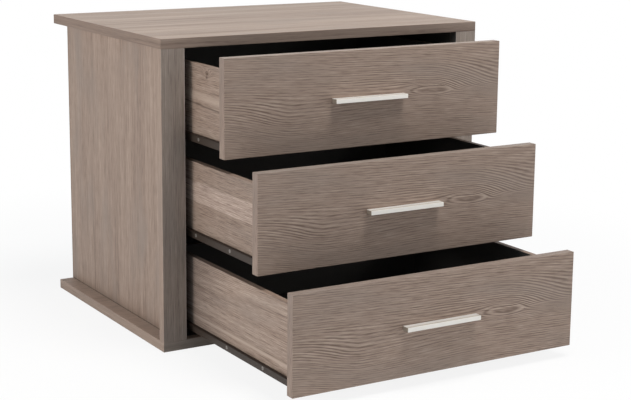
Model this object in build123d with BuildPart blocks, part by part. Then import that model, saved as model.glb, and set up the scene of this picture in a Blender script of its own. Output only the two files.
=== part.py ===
"""Drawer unit with three drawers on roller runners, in millimetres.

The origin is the centre of the underside, +Z is up and the drawers open
towards -Y. The drawers stand open at rest, each by its own share of the travel.
"""
import os

from build123d import *

os.makedirs("parts", exist_ok=True)

# Cabinet boards
cabinet_width = 600
cabinet_depth = 440
cabinet_height = 502
board = 16
side_inset = 25
back_board = 3
back_recess = 1
edge_round = 0.8

# Drawer fronts and boxes
drawer_names = ("top_drawer", "middle_drawer", "bottom_drawer")
pull_shares = (0.357, 0.651, 0.946)
hidden_length = 50
front_gap = 2.5
front_side_gap = 3
runner_space = 12.5
rear_room = 20
box_board = 10
box_lift = 8.5
box_drop = 20.8
bottom_board = 3
bottom_lift = 14
groove_depth = 5
groove_clearance = 0.1

# Handles, hollow underneath for the fingers
handle_length = 134
handle_height = 7
handle_depth = 13
handle_spacing = 128
handle_leg = 9
handle_plate = 2
handle_lip = 2.5
handle_round = 0.6

# Runners and rollers
runner_steel = 1.2
steel_round = 0.3
rail_height = 14
rail_flange = 6.4
rail_front_gap = 2
flange_gap = 0.6
channel_floor = 9.5
insert_gap = 30
runner_front_gap = 3
roller_radius = 5
roller_end_inset = 8
roller_side_room = 1.5
run_clearance = 0.25
axle_radius = 2
axle_clearance = 0.1
axle_shoulder = 0.5
rivet_gap = 0.3
rivet_head = 0.8
rivet_radius = 2.9
stop_height = 2
stop_clearance = 0.3

# Fasteners
screw_radius = 1.7
screw_clearance = 0.05
screw_lift = 6
recess_width = 0.8
recess_length = 3.2
recess_depth = 0.7
rail_screw_length = 9
runner_screw_length = 13
rail_screw_shares = (0.215, 0.5, 0.9)
runner_screw_shares = (0.12, 0.5, 0.88)
handle_screw_radius = 2
handle_screw_bite = 9
handle_screw_head_radius = 4
handle_screw_head = 2.4
handle_screw_room = 0.5
dowel_radius = 4
dowel_clearance = 0.1
dowel_end_room = 0.5
dowel_chamfer = 0.8
dowel_shallow = 10
dowel_deep = 20
box_dowel_radius = 2.5
box_dowel_shallow = 7
box_dowel_deep = 16
box_dowel_shares = (0.32, 0.78)
side_dowel_shares = (0.24, 0.72)
stile_dowel_shares = (0.1, 0.5, 0.9)
cam_radius = 7.5
cam_depth = 12
cam_reach = 34
cam_shares = (0.06, 0.94)
cam_clearance = 0.1
bolt_radius = 2.5
bolt_bite = 11
bolt_head_radius = 3.5
bolt_head = 6
bolt_passage = 4
nail_radius = 0.8
nail_length = 20
nail_head_radius = 2.2
nail_head = 0.8
nail_clearance = 0.05
nail_shares = (0.04, 0.27, 0.5, 0.73, 0.96)
overrun = 1

# Planes of the cabinet that the pieces share
half_width = cabinet_width / 2
front_y = -cabinet_depth / 2
rear_y = cabinet_depth / 2
opening_bottom = board
opening_top = cabinet_height - board
opening_height = opening_top - opening_bottom
stile_width = side_inset + board
side_outer = half_width - side_inset
side_inner = side_outer - board
side_middle = side_inner + board / 2
side_front = front_y + board
side_rear = rear_y - back_recess - back_board
side_length = side_rear - side_front
stile_middle_x = half_width - stile_width / 2
stile_middle_y = front_y + board / 2

# Planes of the drawers, closed
drawer_count = len(drawer_names)
front_height = (opening_height - (drawer_count + 1) * front_gap) / drawer_count
front_width = (side_inner - front_side_gap) * 2
box_height = front_height - box_lift - box_drop
box_length = side_length - rear_room
box_outer = side_inner - runner_space
box_inner = box_outer - box_board
box_front = side_front
box_rear = box_front + box_length
drawer_travel = box_length - hidden_length

# Planes of the runners
runner_front = side_front + runner_front_gap
runner_rear = runner_front + box_length
runner_length = runner_rear - runner_front
channel_lip = runner_space - rail_flange - flange_gap
roller_start = runner_steel + axle_shoulder
roller_width = (
    runner_space - runner_steel * 2 - axle_shoulder - rivet_gap - rivet_head - roller_side_room
)
roller_end = roller_start + roller_width
rivet_start = roller_end + rivet_gap
roller_lift = rail_height - runner_steel - run_clearance - roller_radius
channel_lift = roller_lift - roller_radius - run_clearance
lip_lift = roller_lift + roller_radius + run_clearance
front_roller_y = runner_front + roller_end_inset
closed_roller_y = box_rear - roller_end_inset
stop_reach = (roller_radius**2 - (roller_radius - stop_height + run_clearance) ** 2) ** 0.5
screw_head_radius = screw_radius + runner_steel
hands = {"left": -1, "right": 1}


def save(piece, name):
    """Labels a finished piece and writes it to its own file."""
    piece.part.label = name
    export_step(piece.part, f"parts/{name}.step")


def middle(span):
    """The middle of a (low, high) span."""
    return (span[0] + span[1]) / 2


def size(span):
    """The length of a span."""
    return abs(span[1] - span[0])


def block(x_span, y_span, z_span, mode=Mode.ADD):
    """A box between three spans, in the part that is being built."""
    with Locations((middle(x_span), middle(y_span), middle(z_span))):
        Box(size(x_span), size(y_span), size(z_span), mode=mode)


def plate(x_span, z_span):
    """A rectangle between two spans, in the sketch that is being built."""
    with Locations((middle(x_span), middle(z_span))):
        Rectangle(size(x_span), size(z_span))


def drill(points, outward, radius, depth):
    """Blind holes from points on a face whose outward direction is given."""
    for point in points:
        with Locations(Plane(origin=point, z_dir=outward)):
            Hole(radius, depth)


def pin(point, outward, radius, length):
    """A round pin that stands out from a point."""
    with Locations(Plane(origin=point, z_dir=outward)):
        Cylinder(radius, length, align=(Align.CENTER, Align.CENTER, Align.MIN))


def dowel(seat, direction, radius, shallow, deep):
    """A dowel across a joint, its shallow end in the given direction."""
    with Locations(Plane(origin=seat, z_dir=direction).offset(shallow)):
        Cylinder(radius, shallow + deep, align=(Align.CENTER, Align.CENTER, Align.MAX))


def countersunk_screw(point, outward, length):
    """A flat-head screw with a cross recess, its head flush at the point."""
    with Locations(Plane(origin=point, z_dir=outward)):
        Cylinder(screw_radius, length, align=(Align.CENTER, Align.CENTER, Align.MAX))
        Cone(
            screw_radius,
            screw_head_radius,
            runner_steel,
            align=(Align.CENTER, Align.CENTER, Align.MAX),
        )
        for turn in (0, 90):
            Box(
                recess_length,
                recess_width,
                recess_depth,
                rotation=(0, 0, turn),
                align=(Align.CENTER, Align.CENTER, Align.MAX),
                mode=Mode.SUBTRACT,
            )


def along(span, shares):
    """Places along a span, given as shares of its length."""
    return [span[0] + share * size(span) for share in shares]


def side_points(shares, z):
    """Places over the middle of both side panels, at the given height."""
    return [
        (hand * side_middle, y, z)
        for hand in hands.values()
        for y in along((side_front, side_rear), shares)
    ]


def front_bottom(level):
    """Lower edge of a drawer front, counted from the top drawer."""
    below = drawer_count - level
    return opening_bottom + below * front_gap + (below - 1) * front_height


def box_bottom(level):
    """Lower edge of a drawer box."""
    return front_bottom(level) + box_lift


def runner_screw_points(level, hand):
    """Heads of the screws that hold a runner to the cabinet side."""
    face = hand * (side_inner - runner_steel)
    z = box_bottom(level) + roller_lift
    return [(face, y, z) for y in along((runner_front, runner_rear), runner_screw_shares)]


# Top and base, drilled for the dowels and cam bolts of the sides and stiles
def make_cap(name, z_span, face, outward):
    with BuildPart() as cap:
        block((-half_width, half_width), (front_y, rear_y), z_span)
        fillet(cap.edges(), edge_round)
        drill(
            side_points(side_dowel_shares, face),
            outward,
            dowel_radius + dowel_clearance,
            dowel_shallow + dowel_end_room,
        )
        drill(
            [(hand * stile_middle_x, stile_middle_y, face) for hand in hands.values()],
            outward,
            dowel_radius + dowel_clearance,
            dowel_shallow + dowel_end_room,
        )
        drill(
            side_points(cam_shares, face),
            outward,
            bolt_radius + cam_clearance,
            bolt_bite + dowel_end_room,
        )
    save(cap, name)


make_cap("top_panel", (opening_top, cabinet_height), opening_top, (0, 0, -1))
make_cap("base_panel", (0, opening_bottom), opening_bottom, (0, 0, 1))

# Ends of the side panels: height, outward direction, and height of the cams
side_ends = (
    (opening_bottom, -1, opening_bottom + cam_reach),
    (opening_top, 1, opening_top - cam_reach),
)


# Side panels, set in from the ends of top and base
def make_side_panel(name, hand):
    inward = (-hand, 0, 0)
    with BuildPart() as panel:
        block(
            (hand * side_inner, hand * side_outer),
            (side_front, side_rear),
            (opening_bottom, opening_top),
        )
        for end, outward, cam_z in side_ends:
            rows = along((side_front, side_rear), side_dowel_shares)
            drill(
                [(hand * side_middle, y, end) for y in rows],
                (0, 0, outward),
                dowel_radius + dowel_clearance,
                dowel_deep + dowel_end_room,
            )
            rows = along((side_front, side_rear), cam_shares)
            drill(
                [(hand * side_middle, y, end) for y in rows],
                (0, 0, outward),
                bolt_passage,
                cam_reach,
            )
            drill(
                [(hand * side_inner, y, cam_z) for y in rows],
                inward,
                cam_radius + cam_clearance,
                cam_depth + dowel_end_room,
            )
        heights = along((opening_bottom, opening_top), stile_dowel_shares)
        drill(
            [(hand * side_middle, side_front, z) for z in heights],
            (0, -1, 0),
            dowel_radius + dowel_clearance,
            dowel_deep + dowel_end_room,
        )
        heights = along((opening_bottom, opening_top), nail_shares)
        drill(
            [(hand * side_middle, side_rear, z) for z in heights],
            (0, 1, 0),
            nail_radius + nail_clearance,
            nail_length,
        )
        for level in range(drawer_count):
            drill(
                [(hand * side_inner, y, z) for _, y, z in runner_screw_points(level, hand)],
                inward,
                screw_radius + screw_clearance,
                runner_screw_length,
            )
    save(panel, name)


# Stiles that cover the front edges of the side panels
def make_stile(name, hand):
    with BuildPart() as stile:
        block(
            (hand * side_inner, hand * half_width),
            (front_y, side_front),
            (opening_bottom, opening_top),
        )
        fillet(stile.edges().filter_by(Axis.Z), edge_round)
        for end, outward, _ in side_ends:
            drill(
                [(hand * stile_middle_x, stile_middle_y, end)],
                (0, 0, outward),
                dowel_radius + dowel_clearance,
                dowel_deep + dowel_end_room,
            )
        heights = along((opening_bottom, opening_top), stile_dowel_shares)
        drill(
            [(hand * side_middle, side_front, z) for z in heights],
            (0, 1, 0),
            dowel_radius + dowel_clearance,
            dowel_shallow + dowel_end_room,
        )
    save(stile, name)


for hand_name, hand in hands.items():
    make_side_panel(f"{hand_name}_side_panel", hand)
    make_stile(f"{hand_name}_front_stile", hand)

# Back panel, nailed to the rear edges of the side panels
nail_points = [
    (hand * side_middle, side_rear + back_board, z)
    for hand in hands.values()
    for z in along((opening_bottom, opening_top), nail_shares)
]
with BuildPart() as back_panel:
    block(
        (-side_outer, side_outer),
        (side_rear, side_rear + back_board),
        (opening_bottom, opening_top),
    )
    drill(nail_points, (0, 1, 0), nail_radius + nail_clearance, back_board + overrun)
save(back_panel, "back_panel")

with BuildPart() as back_panel_nails:
    for point in nail_points:
        pin(point, (0, -1, 0), nail_radius, nail_length)
        pin(point, (0, 1, 0), nail_head_radius, nail_head)
save(back_panel_nails, "back_panel_nails")

# Dowels between the boards of the cabinet
with BuildPart() as carcass_dowels:
    for end, outward, _ in side_ends:
        seats = side_points(side_dowel_shares, end)
        seats += [(hand * stile_middle_x, stile_middle_y, end) for hand in hands.values()]
        for seat in seats:
            dowel(seat, (0, 0, outward), dowel_radius, dowel_shallow, dowel_deep)
    for hand in hands.values():
        for z in along((opening_bottom, opening_top), stile_dowel_shares):
            seat = (hand * side_middle, side_front, z)
            dowel(seat, (0, -1, 0), dowel_radius, dowel_shallow, dowel_deep)
    chamfer(carcass_dowels.edges().filter_by(GeomType.CIRCLE), dowel_chamfer)
save(carcass_dowels, "carcass_dowels")

# Cam locks in the side panels, slotted for the heads of the bolts
with BuildPart() as cam_locks:
    for end, outward, cam_z in side_ends:
        for x, y, _ in side_points(cam_shares, end):
            hand = 1 if x > 0 else -1
            pin((hand * side_inner, y, cam_z), (hand, 0, 0), cam_radius, cam_depth)
            with Locations(Plane(origin=(x, y, cam_z), z_dir=(0, 0, outward))):
                Cylinder(
                    bolt_head_radius + cam_clearance,
                    cam_radius + overrun,
                    align=(Align.CENTER, Align.CENTER, Align.MIN),
                    mode=Mode.SUBTRACT,
                )
            with Locations((hand * side_inner, y, cam_z)):
                Box(recess_depth * 2, cam_radius, recess_width, mode=Mode.SUBTRACT)
                Box(recess_depth * 2, recess_width, cam_radius, mode=Mode.SUBTRACT)
save(cam_locks, "cam_locks")

with BuildPart() as cam_bolts:
    for end, outward, cam_z in side_ends:
        for x, y, _ in side_points(cam_shares, end):
            pin((x, y, end), (0, 0, outward), bolt_radius, bolt_bite)
            pin((x, y, end), (0, 0, -outward), bolt_radius, cam_reach - cam_clearance)
            pin((x, y, cam_z + outward * cam_clearance), (0, 0, outward), bolt_head_radius, bolt_head)
save(cam_bolts, "cam_bolts")


# Cabinet runners, channels with a roller axle and stops for the drawer roller
def make_runner(name, level, hand):
    z = box_bottom(level)
    floor = (z + channel_lift - runner_steel, z + channel_lift)
    lip = (z + lip_lift, z + lip_lift + runner_steel)
    web_face = hand * (side_inner - runner_steel)
    floor_edge = hand * (side_inner - channel_floor)
    open_stop = closed_roller_y - drawer_travel - stop_reach - stop_clearance
    closed_stop = closed_roller_y + stop_reach + stop_clearance
    with BuildPart() as runner:
        with BuildSketch(Plane.XZ.offset(-runner_rear)):
            plate((web_face, hand * side_inner), (floor[0], lip[1]))
            plate((floor_edge, hand * side_inner), floor)
        extrude(amount=runner_length)
        with BuildSketch(Plane.XZ.offset(-runner_rear)):
            plate((hand * (side_inner - channel_lip), hand * side_inner), lip)
        extrude(amount=runner_length - insert_gap)
        for stop in ((open_stop - runner_steel, open_stop), (closed_stop, closed_stop + runner_steel)):
            block((floor_edge, web_face), stop, (floor[1], floor[1] + stop_height))
        axle = (web_face, front_roller_y, z + roller_lift)
        pin(axle, (-hand, 0, 0), axle_radius, rivet_start - runner_steel)
        rivet = (hand * (side_inner - rivet_start), front_roller_y, z + roller_lift)
        pin(rivet, (-hand, 0, 0), rivet_radius, rivet_head)
        for point in runner_screw_points(level, hand):
            with Locations(Plane(origin=point, z_dir=(-hand, 0, 0))):
                CounterSinkHole(
                    screw_radius + screw_clearance,
                    screw_head_radius + screw_clearance,
                    runner_steel + overrun,
                    counter_sink_angle=90,
                )
    save(runner, name)


def make_rollers(name, y, z, edge, side):
    """A pair of rollers on one axis, one at each side of the drawer."""
    with BuildPart() as rollers:
        for hand in hands.values():
            start = (hand * (edge + side * roller_start), y, z)
            pin(start, (hand * side, 0, 0), roller_radius, roller_width)
            drill([start], (-hand * side, 0, 0), axle_radius + axle_clearance, roller_width)
    save(rollers, name)


for level, drawer in enumerate(drawer_names):
    place = drawer.split("_")[0]
    for hand_name, hand in hands.items():
        make_runner(f"{place}_{hand_name}_runner", level, hand)
    make_rollers(
        f"{place}_runner_rollers",
        front_roller_y,
        box_bottom(level) + roller_lift,
        side_inner,
        -1,
    )

with BuildPart() as runner_screws:
    for level in range(drawer_count):
        for hand in hands.values():
            for point in runner_screw_points(level, hand):
                countersunk_screw(point, (-hand, 0, 0), runner_screw_length)
save(runner_screws, "runner_screws")


def bottom_span(z, clearance):
    """Heights of a drawer bottom, or of its groove."""
    low = z + box_lift + bottom_lift
    return (low - clearance, low + bottom_board + clearance)


def dowel_heights(z):
    """Heights of the dowels in the corners of a drawer box."""
    low = z + box_lift
    return along((low, low + box_height), box_dowel_shares)


def front_dowel_points(rear, z):
    """Dowels between the drawer front and the sides."""
    x = box_inner + box_board / 2
    return [(hand * x, rear, height) for hand in hands.values() for height in dowel_heights(z)]


def back_dowel_points(end, z):
    """Dowels between the drawer back and the sides."""
    y = end - box_board / 2
    return [(hand * box_inner, y, height) for hand in hands.values() for height in dowel_heights(z)]


def handle_screw_points(rear, z):
    """Heads of the handle screws on the rear face of the drawer front."""
    height = z + front_height / 2
    return [(hand * handle_spacing / 2, rear, height) for hand in hands.values()]


def rail_screw_points(rear, end, z, hand):
    """Heads of the screws that hold a rail to the drawer side."""
    face = hand * (box_outer + runner_steel)
    height = z + box_lift + screw_lift
    return [(face, y, height) for y in along((rear, end), rail_screw_shares)]


# Drawers: each piece is placed by how far its drawer stands open
def make_front(drawer, front, z):
    rear = front + board
    with BuildPart() as drawer_front:
        block((-front_width / 2, front_width / 2), (front, rear), (z, z + front_height))
        fillet(drawer_front.edges(), edge_round)
        block(
            (-box_inner - groove_depth, box_inner + groove_depth),
            (rear - groove_depth, rear),
            bottom_span(z, groove_clearance),
            mode=Mode.SUBTRACT,
        )
        drill(
            front_dowel_points(rear, z),
            (0, 1, 0),
            box_dowel_radius + dowel_clearance,
            box_dowel_shallow + dowel_end_room,
        )
        drill(
            handle_screw_points(rear, z),
            (0, 1, 0),
            handle_screw_radius + handle_screw_room,
            board + overrun,
        )
    save(drawer_front, f"{drawer}_front")


def make_box_side(drawer, hand_name, rear, end, z):
    hand = hands[hand_name]
    low = z + box_lift
    with BuildPart() as box_side:
        block((hand * box_inner, hand * box_outer), (rear, end), (low, low + box_height))
        top_edges = box_side.edges().filter_by(Axis.Y).group_by(Axis.Z)[-1]
        fillet(top_edges, edge_round)
        block(
            (hand * (box_inner - overrun), hand * (box_inner + groove_depth)),
            (rear, end),
            bottom_span(z, groove_clearance),
            mode=Mode.SUBTRACT,
        )
        drill(
            [point for point in front_dowel_points(rear, z) if point[0] * hand > 0],
            (0, -1, 0),
            box_dowel_radius + dowel_clearance,
            box_dowel_deep + dowel_end_room,
        )
        drill(
            [point for point in back_dowel_points(end, z) if point[0] * hand > 0],
            (-hand, 0, 0),
            box_dowel_radius + dowel_clearance,
            box_dowel_shallow + dowel_end_room,
        )
        screws = rail_screw_points(rear, end, z, hand)
        drill(
            [(hand * box_outer, y, height) for _, y, height in screws],
            (hand, 0, 0),
            screw_radius + screw_clearance,
            rail_screw_length,
        )
    save(box_side, f"{drawer}_{hand_name}_side")


def make_box_back(drawer, end, z):
    with BuildPart() as box_back:
        block(
            (-box_inner, box_inner),
            (end - box_board, end),
            (bottom_span(z, 0)[1], z + box_lift + box_height),
        )
        for hand in hands.values():
            drill(
                [point for point in back_dowel_points(end, z) if point[0] * hand > 0],
                (hand, 0, 0),
                box_dowel_radius + dowel_clearance,
                box_dowel_deep + dowel_end_room,
            )
    save(box_back, f"{drawer}_back")


def make_box_bottom(drawer, rear, end, z):
    reach = box_inner + groove_depth - groove_clearance
    with BuildPart() as box_bottom_panel:
        block(
            (-reach, reach),
            (rear - groove_depth + groove_clearance, end),
            bottom_span(z, 0),
        )
    save(box_bottom_panel, f"{drawer}_bottom")


def make_box_dowels(drawer, rear, end, z):
    with BuildPart() as box_dowels:
        for seat in front_dowel_points(rear, z):
            dowel(seat, (0, -1, 0), box_dowel_radius, box_dowel_shallow, box_dowel_deep)
        for seat in back_dowel_points(end, z):
            hand = 1 if seat[0] > 0 else -1
            dowel(seat, (hand, 0, 0), box_dowel_radius, box_dowel_shallow, box_dowel_deep)
        chamfer(box_dowels.edges().filter_by(GeomType.CIRCLE), dowel_chamfer)
    save(box_dowels, f"{drawer}_dowels")


def make_handle(drawer, front, z):
    low = z + (front_height - handle_height) / 2
    grip = handle_length / 2 - handle_leg
    with BuildPart() as handle:
        block(
            (-handle_length / 2, handle_length / 2),
            (front - handle_depth, front),
            (low, low + handle_height),
        )
        outer = handle.edges() - handle.faces().sort_by(Axis.Y)[-1].edges()
        fillet(outer, handle_round)
        block(
            (-grip, grip),
            (front - handle_depth + handle_lip, front),
            (low, low + handle_height - handle_plate),
            mode=Mode.SUBTRACT,
        )
        drill(
            handle_screw_points(front, z),
            (0, 1, 0),
            handle_screw_radius + screw_clearance,
            handle_screw_bite + handle_screw_room,
        )
    save(handle, f"{drawer}_handle")


def make_handle_screws(drawer, rear, z):
    with BuildPart() as handle_screws:
        for point in handle_screw_points(rear, z):
            pin(point, (0, -1, 0), handle_screw_radius, board + handle_screw_bite)
            pin(point, (0, 1, 0), handle_screw_head_radius, handle_screw_head)
            head = Plane(origin=(point[0], point[1] + handle_screw_head, point[2]), z_dir=(0, 1, 0))
            with Locations(head):
                for turn in (0, 90):
                    Box(
                        recess_length,
                        recess_width,
                        recess_depth * 2,
                        rotation=(0, 0, turn),
                        mode=Mode.SUBTRACT,
                    )
    save(handle_screws, f"{drawer}_handle_screws")


# Drawer rails, angles with the axle of the rear roller riveted on
def make_rail(drawer, hand_name, rear, end, z):
    hand = hands[hand_name]
    low = z + box_lift
    length = end - rear - rail_front_gap
    axle_y = end - roller_end_inset
    with BuildPart() as rail:
        with BuildSketch(Plane.XZ.offset(-end)) as profile:
            plate((hand * box_outer, hand * (box_outer + runner_steel)), (low, low + rail_height))
            plate(
                (hand * box_outer, hand * (box_outer + rail_flange)),
                (low + rail_height - runner_steel, low + rail_height),
            )
            fillet(profile.vertices(), steel_round)
        extrude(amount=length)
        axle = (hand * (box_outer + runner_steel), axle_y, low + roller_lift)
        pin(axle, (hand, 0, 0), axle_radius, rivet_start - runner_steel)
        rivet = (hand * (box_outer + rivet_start), axle_y, low + roller_lift)
        pin(rivet, (hand, 0, 0), rivet_radius, rivet_head)
        for point in rail_screw_points(rear, end, z, hand):
            with Locations(Plane(origin=point, z_dir=(hand, 0, 0))):
                CounterSinkHole(
                    screw_radius + screw_clearance,
                    screw_head_radius + screw_clearance,
                    runner_steel + overrun,
                    counter_sink_angle=90,
                )
    save(rail, f"{drawer}_{hand_name}_rail")


def make_rail_screws(drawer, rear, end, z):
    with BuildPart() as rail_screws:
        for hand in hands.values():
            for point in rail_screw_points(rear, end, z, hand):
                countersunk_screw(point, (hand, 0, 0), rail_screw_length)
    save(rail_screws, f"{drawer}_rail_screws")


for level, drawer in enumerate(drawer_names):
    pull = pull_shares[level] * drawer_travel
    front = front_y - pull
    rear = front + board
    end = box_rear - pull
    z = front_bottom(level)
    make_front(drawer, front, z)
    for hand_name in hands:
        make_box_side(drawer, hand_name, rear, end, z)
        make_rail(drawer, hand_name, rear, end, z)
    make_box_back(drawer, end, z)
    make_box_bottom(drawer, rear, end, z)
    make_box_dowels(drawer, rear, end, z)
    make_handle(drawer, front, z)
    make_handle_screws(drawer, rear, z)
    make_rail_screws(drawer, rear, end, z)
    make_rollers(
        f"{drawer}_rollers",
        end - roller_end_inset,
        z + box_lift + roller_lift,
        box_outer,
        1,
    )
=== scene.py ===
"""Looks of the drawer unit: oak decor boards, black linings, satin pulls and brown steel runners.

Every piece is a node of the frame with a finish of its own. Lengths are metres in the frame's axes.
"""
import math

import bpy
from mathutils import Matrix, Vector


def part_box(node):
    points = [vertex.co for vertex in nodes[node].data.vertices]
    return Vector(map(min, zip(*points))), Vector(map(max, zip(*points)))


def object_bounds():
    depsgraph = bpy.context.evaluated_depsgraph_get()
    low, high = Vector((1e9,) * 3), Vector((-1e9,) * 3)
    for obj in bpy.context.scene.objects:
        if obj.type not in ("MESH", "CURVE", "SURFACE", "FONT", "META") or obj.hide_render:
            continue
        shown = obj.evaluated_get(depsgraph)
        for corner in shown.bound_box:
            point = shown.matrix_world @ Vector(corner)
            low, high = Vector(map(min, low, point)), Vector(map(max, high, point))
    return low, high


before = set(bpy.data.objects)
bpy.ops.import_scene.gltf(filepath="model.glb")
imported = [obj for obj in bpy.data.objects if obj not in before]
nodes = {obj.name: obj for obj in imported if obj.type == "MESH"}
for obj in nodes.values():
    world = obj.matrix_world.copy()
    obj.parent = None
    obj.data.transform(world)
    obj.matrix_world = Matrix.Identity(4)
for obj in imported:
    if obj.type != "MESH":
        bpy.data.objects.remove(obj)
cad_low, cad_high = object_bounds()

axes = {"x": 0, "y": 1, "z": 2}
drawers = ("top_drawer", "middle_drawer", "bottom_drawer")
hands = {"left": -1, "right": 1}


def tone(red, green, blue):
    """Linear colour of an sRGB one that is given in steps of 255."""
    linear = [((step / 255 + 0.055) / 1.055) ** 2.4 for step in (red, green, blue)]
    return (*linear, 1)


def shaded(colour, share):
    """A colour at a share of its brightness."""
    return (*(part * share for part in colour[:3]), 1)


# Colours of the oak decor, from its pores to its palest streaks, and of the black linings
oak_dark = tone(115, 95, 84)
oak_middle = tone(159, 138, 124)
oak_light = tone(189, 169, 154)
oak_grey = tone(146, 131, 121)
oak_pore = tone(92, 77, 68)
knot_colour = tone(84, 64, 54)
lining_dark = tone(80, 79, 77)
lining_light = tone(95, 93, 91)

# Sockets of a mix node, for numbers and for colours, and its colour output
number_sockets = (0, 2, 3)
colour_sockets = (0, 6, 7)
colour_output = 2

# A face looks along an axis where that part of its normal is over this limit
facing_limit = 0.7


class Finish:
    """A material whose node tree is built with short calls."""

    def __init__(self, name, metallic=0.0, gloss=0.5):
        self.material = bpy.data.materials.new(name)
        self.material.use_nodes = True
        self.tree = self.material.node_tree
        self.shader = self.tree.nodes["Principled BSDF"]
        self.put(self.shader.inputs["Metallic"], metallic)
        self.put(self.shader.inputs["Specular IOR Level"], gloss)
        coordinates = self.node("TexCoord")
        self.place = coordinates.outputs["Object"]
        self.normal = coordinates.outputs["Normal"]

    def put(self, socket, value):
        """Links a socket, or sets it to a plain value."""
        if isinstance(value, bpy.types.NodeSocket):
            self.tree.links.new(value, socket)
        else:
            socket.default_value = value

    def fill(self, sockets, values):
        """Links or sets several sockets."""
        for socket, value in zip(sockets, values):
            self.put(socket, value)

    def node(self, kind, **settings):
        """A new node of a kind, with its settings."""
        made = self.tree.nodes.new("ShaderNode" + kind)
        for name, value in settings.items():
            setattr(made, name, value)
        return made

    def math(self, operation, *values):
        """A number made from others."""
        made = self.node("Math", operation=operation)
        self.fill(made.inputs, values)
        return made.outputs[0]

    def vector(self, operation, *values):
        """A vector made from others, or the number that the operation gives."""
        made = self.node("VectorMath", operation=operation)
        self.fill(made.inputs, values)
        return made.outputs["Value" if operation in ("DOT_PRODUCT", "LENGTH") else "Vector"]

    def split(self, vector):
        """The three numbers of a vector."""
        made = self.node("SeparateXYZ")
        self.put(made.inputs[0], vector)
        return list(made.outputs)

    def combine(self, *values):
        """A vector of three numbers."""
        made = self.node("CombineXYZ")
        self.fill(made.inputs, values)
        return made.outputs[0]

    def step(self, value, low, high, start=0.0, end=1.0):
        """A smooth change from start to end while the value goes from low to high."""
        made = self.node("MapRange", interpolation_type="SMOOTHSTEP")
        self.fill(made.inputs, (value, low, high, start, end))
        return made.outputs[0]

    def choose(self, share, first, second):
        """A number between two others."""
        made = self.node("Mix", data_type="FLOAT")
        self.fill([made.inputs[index] for index in number_sockets], (share, first, second))
        return made.outputs[0]

    def colour(self, share, first, second, blend="MIX"):
        """A colour between two others, or one blended over the other."""
        made = self.node("Mix", data_type="RGBA", blend_type=blend)
        self.fill([made.inputs[index] for index in colour_sockets], (share, first, second))
        return made.outputs[colour_output]

    def noise(self, vector, detail=2.0, roughness=0.5):
        """Noise about a half, with features of about one unit of the vector."""
        made = self.node("TexNoise")
        self.put(made.inputs["Vector"], vector)
        self.put(made.inputs["Scale"], 1.0)
        self.put(made.inputs["Detail"], detail)
        self.put(made.inputs["Roughness"], roughness)
        return made.outputs[0]

    def spread(self, value, amount):
        """Noise about zero, from noise about a half."""
        return self.math("MULTIPLY_ADD", value, amount, -amount / 2)

    def add(self, *values):
        """The sum of several numbers."""
        total = values[0]
        for value in values[1:]:
            total = self.math("ADD", total, value)
        return total

    def bump(self, height, depth):
        """A relief of a depth on the surface."""
        made = self.node("Bump")
        self.put(made.inputs["Strength"], 1.0)
        self.put(made.inputs["Distance"], depth)
        self.put(made.inputs["Height"], height)
        self.put(self.shader.inputs["Normal"], made.outputs[0])

    def paint(self, colour, roughness):
        """Gives the shader its colour and roughness."""
        self.put(self.shader.inputs["Base Color"], colour)
        self.put(self.shader.inputs["Roughness"], roughness)

    def use(self, *names):
        """Puts the finish on nodes of the frame."""
        for name in names:
            slots = nodes[name].data.materials
            slots.clear()
            slots.append(self.material)


# Shares of a surface, each one where it holds and zero elsewhere
def facing(finish, axis, direction):
    """One where a face looks along an axis."""
    part = finish.split(finish.normal)[axes[axis]]
    return finish.math("GREATER_THAN", finish.math("MULTIPLY", part, direction), facing_limit)


def between(finish, value, low, high):
    """One where a value lies between two others."""
    over = finish.math("GREATER_THAN", value, low)
    return finish.math("MULTIPLY", over, finish.math("LESS_THAN", value, high))


def mound(finish, place, centre, size):
    """A round hill, one high at its centre."""
    offset = finish.vector("SUBTRACT", place, (*centre, 0))
    share = finish.vector("DIVIDE", offset, (*size, 1))
    square = finish.vector("DOT_PRODUCT", share, share)
    return finish.math("EXPONENT", finish.math("MULTIPLY", square, -1.0))


def fall(finish, place, along, low, high):
    """One where the grain has fallen, past a stretch along the board and between two heights."""
    u, v, _ = finish.split(place)
    share = finish.math("MULTIPLY", finish.step(u, *along), finish.step(v, *low))
    return finish.math("MULTIPLY", share, finish.step(v, *high, 1.0, 0.0))


def stripe(finish, height, width, blur, slope=0.0):
    """One along a stripe of the print, at a height over the board's lower edge."""
    middle = finish.math("MULTIPLY_ADD", finish.along, slope, height)
    off = finish.math("ABSOLUTE", finish.math("SUBTRACT", finish.across, middle))
    return finish.step(off, width / 2 + blur, width / 2 - blur)


# Changes of a print that is already there
def tint(finish, share, shade):
    """A part of the print that is darker or paler by a factor."""
    finish.surface = finish.colour(share, finish.surface, shade, "MULTIPLY")


def tint_face(finish, axis, direction, shade):
    """Faces that look along an axis, darker or paler by a factor."""
    tint(finish, facing(finish, axis, direction), shade)


def mark(finish, share, colour, amount):
    """A colour laid over part of the print."""
    finish.surface = finish.colour(finish.math("MULTIPLY", share, amount), finish.surface, colour)


# Layers of the oak print: length and width of the streaks, and the step from the board's own seed
streaks = {
    "broad": (0.7, 0.05, 14.0),
    "band": (0.4, 0.016, 0.0),
    "narrow_band": (0.2, 0.0055, 6.0),
    "line": (0.05, 0.001, 8.0),
    "fibre": (0.02, 0.0007, 2.0),
    "pore": (0.022, 0.0007, 4.0),
    "cloud": (0.2, 0.05, 10.0),
    "drift": (0.12, 0.014, 12.0),
}

# How strongly the layers show, and the limits between which they take effect
band_strength = 0.4
line_strength = 0.9
fibre_strength = 0.8
pore_strength = 0.4
pore_limits = (0.58, 0.74)
cloud_limits = (0.45, 0.8)
dark_limits = (0.1, 0.55)
light_limits = (0.5, 1.0)

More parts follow.
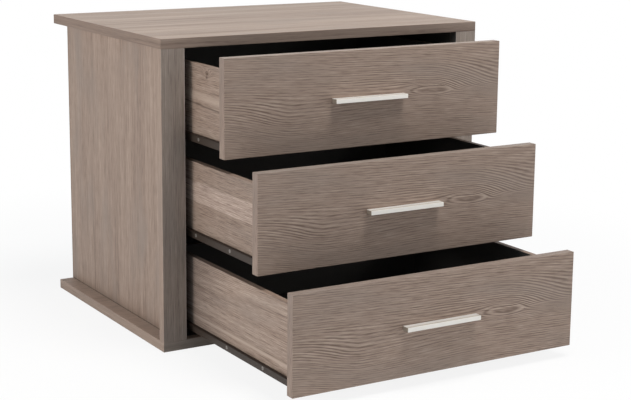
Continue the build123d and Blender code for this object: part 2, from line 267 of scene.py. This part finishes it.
# Slow waves of the grain, as waves per metre along and across it, and rings of a flame
wave_rates = (4.0, 14.0)
wave_height = 0.004
ring_gap = 0.0036
ring_swing = 0.5
ring_strength = 0.2
ring_drift = 9.0
figure_gain = 0.55
fine_bend_share = 0.9
fine_eye_share = 0.35

# Gloss, relief and roughness of the boards
oak_gloss = 0.25
oak_relief = 0.00012
pore_sink = 0.6
oak_roughness = 0.46
fibre_roughness = 0.16


def eye(finish, place, centre, size, rise):
    """How far an eye bends the grain, which flows round its outline and has loops inside it."""
    offset = finish.vector("SUBTRACT", place, (*centre, 0))
    share = finish.vector("DIVIDE", offset, (*size, 1))
    square = finish.vector("DOT_PRODUCT", share, share)
    outside = finish.math("DIVIDE", finish.split(offset)[1], finish.math("MAXIMUM", square, 1.0))
    inside = finish.math("SUBTRACT", 1.0, finish.math("MINIMUM", square, 1.0))
    return finish.math("SUBTRACT", finish.math("MULTIPLY", inside, rise), outside)


def lay_grain(finish, name, grain, thickness):
    """Places along and across the grain of a board, whose end faces show the board's width instead."""
    grain_axis, thick_axis = axes[grain], axes[thickness]
    wide_axis = sum(axes.values()) - grain_axis - thick_axis
    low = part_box(name)[0]
    place = finish.split(finish.vector("SUBTRACT", finish.place, low))
    end = finish.math("ABSOLUTE", finish.split(finish.normal)[grain_axis])
    ends = finish.math("GREATER_THAN", end, facing_limit)
    width = finish.add(place[wide_axis], place[thick_axis])
    finish.along = finish.choose(ends, place[grain_axis], place[wide_axis])
    finish.across = finish.choose(ends, width, place[thick_axis])
    finish.flat = finish.combine(finish.along, finish.across, 0.0)


def bend_grain(finish, hills, flame):
    """Distances across the bent grain, for its rings and for its fine streaks, and where a figure shows."""
    slow = finish.combine(
        finish.math("MULTIPLY", finish.along, wave_rates[0]),
        finish.math("MULTIPLY", finish.across, wave_rates[1]),
        finish.seed,
    )
    bent = finish.add(finish.across, finish.spread(finish.noise(slow), wave_height), finish.seed)
    figure = 0.0
    for centre, size, rise in hills:
        share = mound(finish, finish.flat, centre, size)
        bent = finish.math("MULTIPLY_ADD", share, rise, bent)
        figure = finish.math("MAXIMUM", share, figure)
    fine = bent
    if flame:
        bend, loops, figure = flame(finish)
        fine = finish.math("MULTIPLY_ADD", bend, fine_bend_share, bent)
        fine = finish.math("MULTIPLY_ADD", loops, fine_eye_share, fine)
        bent = finish.add(bent, bend, loops)
    return bent, fine, figure


def flow(finish, layer, detail=2.0):
    """Noise in the streaks of one layer, along the bent grain."""
    length, width, seed_step = streaks[layer]
    place = finish.combine(
        finish.math("MULTIPLY", finish.along, 1 / length),
        finish.math("MULTIPLY", finish.fine, 1 / width),
        finish.seed + seed_step,
    )
    return finish.noise(place, detail)


def oak(
    name, grain, thickness, seed, hills=(), flame=None,
    broad=0.0, bands=1.0, lines=1.0, rings=0.5, clouds=0.5, shade=1.0,
):
    """The finish of one board, whose grain runs along one axis and whose thickness along another."""
    finish = Finish(f"oak_{name}", gloss=oak_gloss)
    finish.seed = seed
    lay_grain(finish, name, grain, thickness)
    bent, finish.fine, figure = bend_grain(finish, hills, flame)

    fibres = flow(finish, "fibre")
    pores = finish.step(flow(finish, "pore", detail=1.0), *pore_limits)
    drift = finish.math("MULTIPLY", flow(finish, "drift"), ring_drift)
    turns = finish.math("MULTIPLY_ADD", bent, math.tau / ring_gap, drift)
    circles = finish.math("MULTIPLY", finish.math("SINE", turns), ring_swing * lines * rings)
    strength = finish.math("MULTIPLY_ADD", figure, figure_gain, ring_strength)
    level = finish.add(
        0.5,
        finish.spread(flow(finish, "broad"), broad),
        finish.spread(flow(finish, "band"), band_strength * bands),
        finish.spread(flow(finish, "narrow_band"), band_strength * bands),
        finish.spread(flow(finish, "line"), line_strength * lines),
        finish.math("MULTIPLY", circles, strength),
        finish.spread(fibres, fibre_strength * lines),
    )
    cloud = finish.step(flow(finish, "cloud"), *cloud_limits, 0.0, clouds)
    pore_share = finish.math("MULTIPLY", pores, pore_strength * lines)
    wood = finish.colour(
        finish.step(level, *dark_limits), shaded(oak_dark, shade), shaded(oak_middle, shade)
    )
    wood = finish.colour(finish.step(level, *light_limits), wood, shaded(oak_light, shade))
    wood = finish.colour(cloud, wood, shaded(oak_grey, shade))
    finish.surface = finish.colour(pore_share, wood, shaded(oak_pore, shade))
    finish.roughness = finish.math("MULTIPLY_ADD", fibres, fibre_roughness, oak_roughness)
    finish.bump(finish.math("SUBTRACT", level, finish.math("MULTIPLY", pores, pore_sink)), oak_relief)
    return finish


# Black lining of the cabinet and the drawers, with a fine pressed texture
lining_weave = (700.0, 700.0, 700.0)
side_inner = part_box("right_side_panel")[0].x
stile_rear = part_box("left_front_stile")[1].y


def lining(finish):
    """The lining's colour."""
    weave = finish.vector("MULTIPLY", finish.place, lining_weave)
    return finish.colour(finish.noise(weave, detail=1.0), lining_dark, lining_light)


def line_inside(finish, axis, direction, bounded=False):
    """Black on the face that looks into the cabinet, inside its opening only if bounded."""
    black = facing(finish, axis, direction)
    if bounded:
        x, y, _ = finish.split(finish.place)
        black = finish.math("MULTIPLY", black, between(finish, x, -side_inner, side_inner))
        black = finish.math("MULTIPLY", black, finish.math("GREATER_THAN", y, stile_rear))
    finish.surface = finish.colour(black, finish.surface, lining(finish))


# Seeds of the boards' prints
top_seed = 1.9
base_seed = 2.9
panel_seed = 4.1
stile_seed = 6.7
front_seed = 8.2
side_seed = 11.0
back_seed = 15.0

# Factors for red, green and blue on single faces of the boards
# Painted light: the top face of the top panel is paler and cooler than the rest of the board
top_face_painted_light = (1.02, 1.06, 1.08, 1)
edge_shade = (0.78, 0.79, 0.8, 1)
end_shade = (0.73, 0.71, 0.7, 1)
# Painted shade: the front edge of the base panel is darker and greyer, as in the shade of the open drawers
base_front_painted_shade = (0.76, 0.86, 0.92, 1)
# Painted light: the top face of the base panel is paler, to lift the shade on the ledge beside the side
# panels
ledge_painted_light = (1.34, 1.36, 1.38, 1)
# Painted shade: the fronts of the stiles are darker and greyer, as in the shade of the open drawers
stile_painted_shade = (0.86, 0.96, 1.03, 1)
# Painted highlight: a pale line along the inner arris of each stile
arris_painted_highlight = (1.35, 1.38, 1.42, 1)
# Painted contact shadow above the foot of each side panel: a soft one, and a darker thin line that is part
# joint line and part painted shadow
joint_and_contact_shadow = (0.55, 0.54, 0.53, 1)
painted_contact_shadow = (0.78, 0.78, 0.78, 1)
front_end_shade = (0.94, 0.95, 0.97, 1)
rim_shade = (0.78, 0.76, 0.74, 1)
plank_shade = (1.38, 1.42, 1.48, 1)
# Painted shade: the rear of the bottom drawer's sides is darker, as near the cabinet
rear_painted_shade = (0.64, 0.66, 0.69, 1)

# Painted highlight along the inner arris of the stiles, and painted contact shadow above the foot of the
# side panels, darkest in a thin line at the joint
arris_highlight_width = 0.0016
joint_line = 0.0026
contact_shadow_height = 0.014

# Cabinet boards
top = oak("top_panel", "x", "z", top_seed, broad=0.6, bands=1.6, lines=0.5)
line_inside(top, "z", -1, bounded=True)
# Painted light on the top face
tint_face(top, "z", 1, top_face_painted_light)
tint_face(top, "y", -1, edge_shade)
tint_face(top, "x", -1, end_shade)
base = oak("base_panel", "x", "z", base_seed, lines=0.7)
# Painted light on the ledge, lifting its shade
tint_face(base, "z", 1, ledge_painted_light)
line_inside(base, "z", 1, bounded=True)
# Painted shade on the front edge
tint_face(base, "y", -1, base_front_painted_shade)
board_finishes = {"top_panel": top, "base_panel": base}
for hand_name, hand in hands.items():
    panel_name = f"{hand_name}_side_panel"
    panel = oak(panel_name, "z", "x", panel_seed + hand, broad=0.4, bands=1.2, lines=1.2, clouds=1.0)
    # Painted contact shadow above the foot of the panel, darkest in a thin line at the joint
    tint(panel, panel.step(panel.along, 0.0, contact_shadow_height, 1.0, 0.0), painted_contact_shadow)
    tint(panel, panel.step(panel.along, joint_line / 2, joint_line, 1.0, 0.0), joint_and_contact_shadow)
    line_inside(panel, "x", -hand)
    board_finishes[panel_name] = panel
    stile_name = f"{hand_name}_front_stile"
    stile = oak(stile_name, "z", "y", stile_seed + hand, lines=0.8)
    # Painted shade on the stile's front
    tint_face(stile, "y", -1, stile_painted_shade)
    # A painted highlight along the stile's inner arris
    low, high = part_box(f"{hand_name}_front_stile")
    inner_edge = (high.x - low.x - arris_highlight_width) if hand < 0 else 0.0
    tint(stile, between(stile, stile.across, inner_edge, inner_edge + arris_highlight_width), arris_painted_highlight)
    line_inside(stile, "x", -hand)
    board_finishes[stile_name] = stile

# Drawer fronts, cut from one print: a long flame, whose grain falls away at its left end and past an eye
print_slope = 0.05
left_fall = 0.018
left_along = (-0.01, 0.12)
left_return = (0.1, 0.36)
left_low = (-0.07, 0.05)
left_high = (0.05, 0.11)
right_fall = 0.027
right_along = (0.365, 0.52)
right_low = (0.08, 0.106)
right_high = (0.1, 0.18)
eye_place = (0.374, 0.0953)
eye_size = (0.043, 0.0095)
eye_rise = 0.007

# Where the flame's rings are crisp: centre, size and gain
crisp_places = (
    ((0.055, 0.065), (0.075, 0.018), 0.65),
    ((0.455, 0.117), (0.065, 0.026), 1.0),
    ((0.4, 0.098), (0.04, 0.012), 0.35),
    ((0.3, 0.108), (0.1, 0.02), 0.35),
)

# For each drawer's front: how far up the print lies, how strong its lines are, and the painted light and
# shade on its rim
front_prints = (
    (0.004, 1.05, (1.0, 1.08, 1.14, 1)),
    (0.0, 1.1, (0.82, 0.89, 0.94, 1)),
    (0.0, 1.2, (0.82, 0.86, 0.9, 1)),
)


def front_flame(shift):
    """The flame of one front: a function that gives its bend, the loops of its eye and where it is crisp."""
    def flame(finish):
        u, v, _ = finish.split(finish.flat)
        tilt = finish.math("MULTIPLY", u, print_slope)
        place = finish.combine(u, finish.add(tilt, v, -shift), 0.0)
        left = finish.math("MULTIPLY", fall(finish, place, left_along, left_low, left_high), left_fall)
        left = finish.math("MULTIPLY", left, finish.step(u, *left_return, 1.0, 0.0))
        right = fall(finish, place, right_along, right_low, right_high)
        bend = finish.add(tilt, left, finish.math("MULTIPLY", right, right_fall))
        loops = eye(finish, place, eye_place, eye_size, eye_rise)
        crisp = 0.0
        for centre, size, gain in crisp_places:
            crisp = finish.math("MULTIPLY_ADD", mound(finish, place, centre, size), gain, crisp)
        return bend, loops, crisp
    return flame


for drawer, (shift, front_lines, front_rim_light_and_shade) in zip(drawers, front_prints):
    front_name = f"{drawer}_front"
    front = oak(
        front_name, "x", "y", front_seed, flame=front_flame(shift), bands=0.15, lines=front_lines, rings=1.0
    )
    tint_face(front, "x", -1, front_end_shade)
    # Painted light and shade on the top rim: paler on the top drawer, darker on the two below
    tint_face(front, "z", 1, front_rim_light_and_shade)
    board_finishes[front_name] = front

# Hills that bend the grain of the drawer sides: centre, size and rise
knot_place = (0.058, 0.112)
knot_hill = (knot_place, (0.012, 0.006), 0.012)
sweep_hill = ((0.30, 0.14), (0.20, 0.05), 0.02)

# Drawer sides and backs, in a livelier print: a knot and split lines, a pale plank, or a sweep of the grain
split_slope = 0.05
knot_spots = ((knot_place, (0.004, 0.0022)), ((0.059, 0.1065), (0.003, 0.0022)))
rear_shade_stretch = (0.16, 0.32)
side_prints = (
    {"hills": (knot_hill,), "bands": 1.3, "shade": 0.99},
    {"bands": 0.8, "shade": 0.93},
    {"hills": (sweep_hill,), "bands": 1.9, "shade": 1.07},
)


def mark_top_side(side):
    """A pale stripe over a dark split, and a knot."""
    pale = stripe(side, height=0.071, width=0.012, blur=0.004, slope=split_slope)
    mark(side, pale, oak_light, amount=0.6)
    dark = stripe(side, height=0.057, width=0.0025, blur=0.0012, slope=split_slope)
    mark(side, dark, oak_pore, amount=0.7)
    for spot_place, spot_size in knot_spots:
        mark(side, mound(side, side.flat, spot_place, spot_size), knot_colour, amount=0.9)


def mark_middle_side(side):
    """A pale plank."""
    tint(side, stripe(side, height=0.077, width=0.032, blur=0.0008), plank_shade)


def mark_bottom_side(side):
    """A pale stripe, and painted shade that darkens the rear end."""
    mark(side, stripe(side, height=0.029, width=0.004, blur=0.002), oak_light, amount=0.9)
    # Painted shade over the rear of the side
    tint(side, side.step(side.along, *rear_shade_stretch), rear_painted_shade)


side_marks = (mark_top_side, mark_middle_side, mark_bottom_side)
for number, drawer in enumerate(drawers):
    for hand_name, hand in hands.items():
        side_name = f"{drawer}_{hand_name}_side"
        side = oak(side_name, "y", "x", side_seed + number, lines=1.5, rings=0.3, **side_prints[number])
        side_marks[number](side)
        tint_face(side, "z", 1, rim_shade)
        line_inside(side, "x", -hand)
        board_finishes[side_name] = side
    back_name = f"{drawer}_back"
    back = oak(back_name, "x", "y", back_seed + number)
    tint_face(back, "z", 1, rim_shade)
    line_inside(back, "y", -1)
    board_finishes[back_name] = back

for name, finish in board_finishes.items():
    finish.paint(finish.surface, finish.roughness)
    finish.use(name)

# Hardboard: black inside, brown and fibrous outside
hardboard_dark = tone(92, 71, 54)
hardboard_light = tone(146, 119, 94)
hardboard_gloss = 0.3
hardboard_roughness = 0.6
hardboard_relief = 0.00015
pulp_rates = (260.0, 260.0, 260.0)
pulp_strength = 1.2
patch_rates = (14.0, 14.0, 14.0)
patch_strength = 0.8


def hardboard(name, axis, direction):
    """The finish of a thin board that is black on the side that looks along an axis."""
    finish = Finish(f"hardboard_{name}", gloss=hardboard_gloss)
    pulp = finish.noise(finish.vector("MULTIPLY", finish.place, pulp_rates), detail=4.0, roughness=0.7)
    patches = finish.noise(finish.vector("MULTIPLY", finish.place, patch_rates), detail=5.0, roughness=0.65)
    level = finish.add(finish.spread(pulp, pulp_strength), finish.spread(patches, patch_strength), 0.5)
    brown = finish.colour(finish.step(level, 0.0, 1.0), hardboard_dark, hardboard_light)
    black = facing(finish, axis, direction)
    finish.paint(finish.colour(black, brown, lining(finish)), hardboard_roughness)
    finish.bump(pulp, hardboard_relief)
    finish.use(name)


hardboard("back_panel", "y", -1)
for drawer in drawers:
    hardboard(f"{drawer}_bottom", "z", 1)

# Small pieces of metal, plastic and wood
speckle_limits = (0.2, 0.8)


def grained(name, rates, first, second, rough, relief, metallic=0.0, gloss=0.5):
    """A finish of two near colours, with noise at a rate per metre along each axis."""
    finish = Finish(name, metallic, gloss)
    speckle = finish.noise(finish.vector("MULTIPLY", finish.place, rates))
    finish.surface = finish.colour(speckle, first, second)
    finish.roughness = finish.step(speckle, *speckle_limits, *rough)
    finish.paint(finish.surface, finish.roughness)
    finish.bump(speckle, relief)
    return finish


# Pulls: the depth of the lip along the front of the top, and factors that paint light and shade on their
# faces
pull_lip = 0.005
pull_lip_painted_shade = (0.7, 0.68, 0.65, 1)
pull_top_painted_shade = (0.92, 0.94, 0.97, 1)
pull_face_painted_light = (1.08, 1.09, 1.1, 1)
pull_end_painted_shade = (0.55, 0.5, 0.44, 1)


def satin_pull(name):
    """Satin nickel, brushed along the pull, with painted shade on the ends, along the front of the top and a
    little on the rest of the top, and painted light on the front face.
    """
    finish = grained(
        name, (24.0, 2600.0, 2600.0), tone(219, 214, 207), tone(233, 228, 221),
        rough=(0.46, 0.6), relief=0.00002, metallic=0.3,
    )
    y = finish.split(finish.place)[1]
    rear = finish.math("GREATER_THAN", y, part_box(name)[0].y + pull_lip)
    # Painted shade on the top, darkest along the front lip, painted light on the front face and painted
    # shade on both ends
    tint(finish, facing(finish, "z", 1), finish.colour(rear, pull_lip_painted_shade, pull_top_painted_shade))
    tint_face(finish, "y", -1, pull_face_painted_light)
    tint_face(finish, "x", -1, pull_end_painted_shade)
    tint_face(finish, "x", 1, pull_end_painted_shade)
    finish.paint(finish.surface, finish.roughness)
    finish.use(name)


# Rails: the height of a band of painted shade along the top, and its factor
rail_shade_band = 0.0032
rail_painted_shade = (0.42, 0.34, 0.28, 1)


def brown_steel(name, band=False):
    """Brown painted steel, with painted shade along the top of a drawer's rail."""
    finish = grained(
        name, (900.0, 900.0, 900.0), tone(52, 43, 37), tone(66, 56, 49),
        rough=(0.45, 0.58), relief=0.00004, gloss=0.25,
    )
    if band:
        # Painted shade along the top of the rail
        z = finish.split(finish.place)[2]
        tint(finish, finish.math("GREATER_THAN", z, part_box(name)[1].z - rail_shade_band), rail_painted_shade)
        finish.paint(finish.surface, finish.roughness)
    finish.use(name)


# Finishes that several pieces share
zinc = grained(
    "bright_zinc", (1400.0, 1400.0, 1400.0), tone(150, 149, 146), tone(178, 177, 174),
    rough=(0.32, 0.48), relief=0.00003, metallic=1.0,
)
dull_zinc = grained(
    "dull_zinc", (1400.0, 1400.0, 1400.0), tone(134, 129, 124), tone(154, 149, 144),
    rough=(0.45, 0.6), relief=0.00003, metallic=0.6,
)
casting = grained(
    "zinc_casting", (800.0, 800.0, 800.0), tone(150, 150, 150), tone(176, 176, 175),
    rough=(0.4, 0.55), relief=0.00005, metallic=1.0,
)
nylon = grained(
    "nylon", (500.0, 500.0, 500.0), tone(226, 223, 214), tone(236, 234, 227),
    rough=(0.35, 0.45), relief=0.00002,
)
beech = grained(
    "beech", (60.0, 900.0, 900.0), tone(196, 160, 118), tone(222, 190, 150),
    rough=(0.5, 0.65), relief=0.00005,
)
zinc.use("runner_screws", "back_panel_nails", "cam_bolts")
casting.use("cam_locks")
beech.use("carcass_dowels")
for drawer in drawers:
    level_name = drawer.split("_")[0]
    nylon.use(f"{drawer}_rollers", f"{level_name}_runner_rollers")
    zinc.use(f"{drawer}_handle_screws")
    dull_zinc.use(f"{drawer}_rail_screws")
    beech.use(f"{drawer}_dowels")
    satin_pull(f"{drawer}_handle")
    for hand_name in hands:
        brown_steel(f"{level_name}_{hand_name}_runner")
        brown_steel(f"{drawer}_{hand_name}_rail", band=True)

# White floor that keeps a soft shadow near the unit, and a white surround
seen_rays = ("Is Camera Ray", "Is Glossy Ray", "Is Transmission Ray")
floor_reach = 12.0
floor_drop = 0.0004
floor_corners = ((-1, -1), (1, -1), (1, 1), (-1, 1))
floor_gloss = 0.1
floor_roughness = 0.9
floor_colour = (0.84, 0.86, 0.88, 1)
floor_seen = (0.95, 0.95, 0.95, 1)
floor_glow = 0.87
floor_near = 0.5
floor_far = 1.1
ambient_light = (0.145, 0.175, 0.205, 1)
white = (1, 1, 1, 1)


def seen_share(tree):
    """One for the rays by which the surround itself is seen."""
    path = tree.nodes.new("ShaderNodeLightPath")
    total = path.outputs[seen_rays[0]]
    for name in seen_rays[1:]:
        most = tree.nodes.new("ShaderNodeMath")
        most.operation = "MAXIMUM"
        tree.links.new(total, most.inputs[0])
        tree.links.new(path.outputs[name], most.inputs[1])
        total = most.outputs[0]
    return total


def make_floor():
    """A large floor, which glows white where it is seen far from the unit."""
    mesh = bpy.data.meshes.new("floor")
    corners = [(x * floor_reach, y * floor_reach, -floor_drop) for x, y in floor_corners]
    mesh.from_pydata(corners, [], [(0, 1, 2, 3)])
    floor = bpy.data.objects.new("floor", mesh)
    bpy.context.scene.collection.objects.link(floor)
    finish = Finish("floor", gloss=floor_gloss)
    seen = seen_share(finish.tree)
    finish.paint(finish.colour(seen, floor_colour, floor_seen), floor_roughness)
    glow = finish.node("Emission")
    mix = finish.node("MixShader")
    away = finish.vector("LENGTH", finish.place)
    share = finish.step(away, floor_near, floor_far, floor_glow, 1.0)
    finish.put(mix.inputs[0], finish.math("MULTIPLY", seen, share))
    finish.put(mix.inputs[1], finish.shader.outputs[0])
    finish.put(mix.inputs[2], glow.outputs[0])
    finish.put(finish.tree.nodes["Material Output"].inputs["Surface"], mix.outputs[0])
    mesh.materials.append(finish.material)


def make_world():
    """A surround that is seen as white, and lights the unit with less than that."""
    world = bpy.data.worlds.new("surround")
    bpy.context.scene.world = world
    world.use_nodes = True
    tree = world.node_tree
    light = tree.nodes.new("ShaderNodeMix")
    light.data_type = "RGBA"
    share, first, second = (light.inputs[index] for index in colour_sockets)
    tree.links.new(seen_share(tree), share)
    first.default_value = ambient_light
    second.default_value = white
    tree.links.new(light.outputs[colour_output], tree.nodes["Background"].inputs["Color"])


make_floor()
make_world()

# Soft lamps: one low at the left, one high at the front and a weaker one at the front right
unit_middle = (cad_low + cad_high) / 2


def make_lamp(name, place, size, level, colour):
    """A round lamp that gives a face that looks at it the given light, at the unit's middle."""
    lamp = bpy.data.lights.new(name, "AREA")
    lamp.shape = "DISK"
    lamp.size = size
    lamp.color = colour
    reach = unit_middle - Vector(place)
    lamp.energy = level * math.pi**2 * reach.length_squared
    holder = bpy.data.objects.new(name, lamp)
    holder.location = place
    holder.rotation_euler = reach.to_track_quat("-Z", "Y").to_euler()
    bpy.context.scene.collection.objects.link(holder)


make_lamp("left", place=(-2.65, -0.2, 0.95), size=0.9, level=0.415, colour=(1.0, 0.965, 0.92))
make_lamp("overhead", place=(0.3, -1.0, 3.05), size=1.4, level=0.8, colour=(1.0, 0.98, 0.95))
make_lamp("front", place=(2.0, -2.3, 0.9), size=1.6, level=0.19, colour=(1.0, 0.96, 0.91))

# Camera at the photograph's angle: its place and directions, and the photograph's frame in pixels
photo_width = 631
photo_height = 400
focal_pixels = 1527.3
axis_pixel = (300.0, 180.0)
sensor_width = 36.0
camera_place = Vector((-1.3031, -2.3369, 0.7653))
camera_azimuth = math.radians(-30.625)
camera_elevation = math.radians(11.673)
camera_roll = math.radians(0.428)


def make_camera():
    """The camera, with a small shift of its lens."""
    data = bpy.data.cameras.new("camera")
    data.sensor_width = sensor_width
    data.lens = focal_pixels * sensor_width / photo_width
    data.shift_x = (photo_width / 2 - axis_pixel[0]) / photo_width
    data.shift_y = (axis_pixel[1] - photo_height / 2) / photo_width
    camera = bpy.data.objects.new("camera", data)
    turn = Matrix.Rotation(camera_azimuth, 4, "Z")
    turn = turn @ Matrix.Rotation(math.pi / 2 - camera_elevation, 4, "X")
    turn = turn @ Matrix.Rotation(camera_roll, 4, "Z")
    camera.matrix_world = Matrix.Translation(camera_place) @ turn
    bpy.context.scene.collection.objects.link(camera)
    bpy.context.scene.camera = camera


make_camera()
bpy.context.scene.view_settings.view_transform = "Standard"
